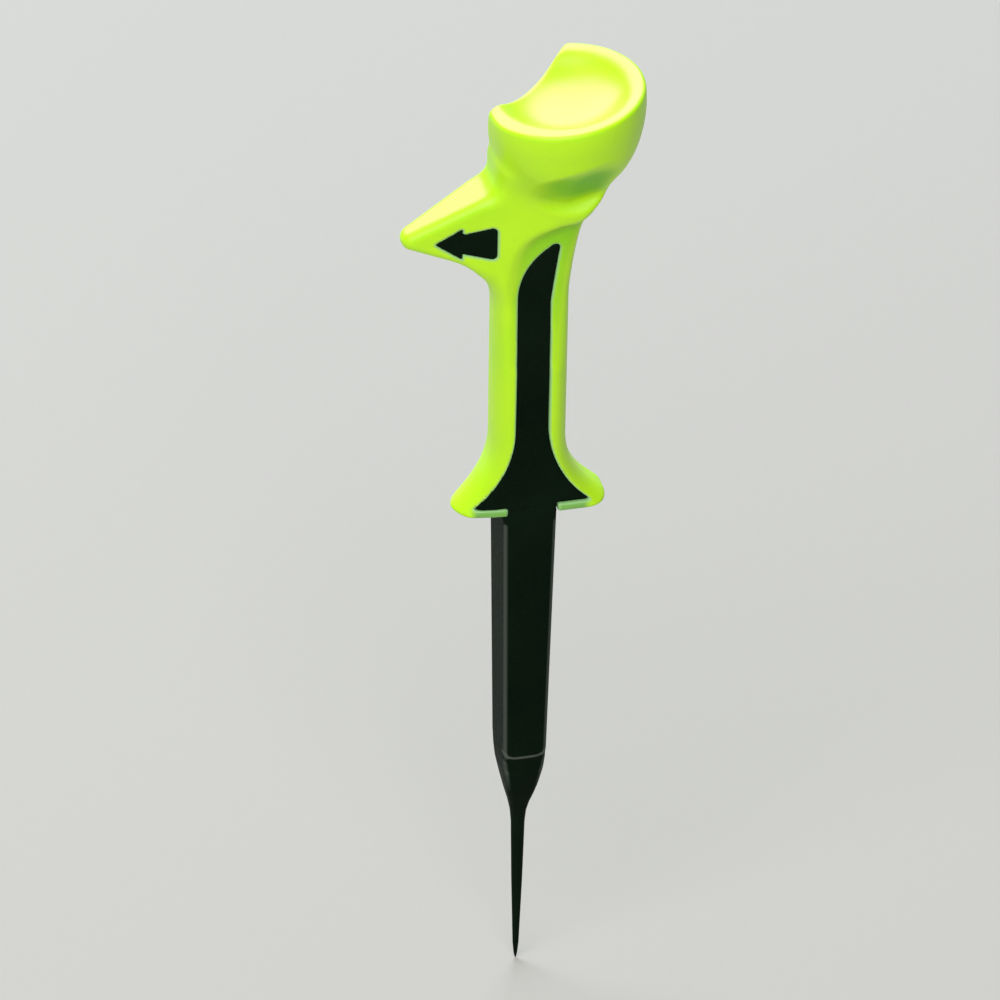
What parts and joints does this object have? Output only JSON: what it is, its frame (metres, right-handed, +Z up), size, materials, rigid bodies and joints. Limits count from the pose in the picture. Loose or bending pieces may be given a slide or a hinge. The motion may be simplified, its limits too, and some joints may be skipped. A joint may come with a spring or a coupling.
{
  "type": "golf tee",
  "caption": "Two-colour moulded plastic golf tee: open-sided ball cup, side pointer with arrow, framed handle, stop flange and tapered turf spike.",
  "frame": {"origin": "on the spike's axis, in the plane of the stop flange's underside, which is the turf level in use", "axes": "+Z up along the spike, -X the way the pointer and its arrow point (the target side), +Y the far face; the cup is cut away towards -X and +Y"},
  "size_m": [0.0195, 0.0132, 0.0825],
  "materials": {
    "lime_plastic": "satin",
    "black_plastic": "matte"
  },
  "bodies": {
    "root": {"head_body": "lime_plastic", "spike_core": "black_plastic", "arrow_inlay_near": "black_plastic", "arrow_inlay_far": "black_plastic"}
  },
  "joints": []
}
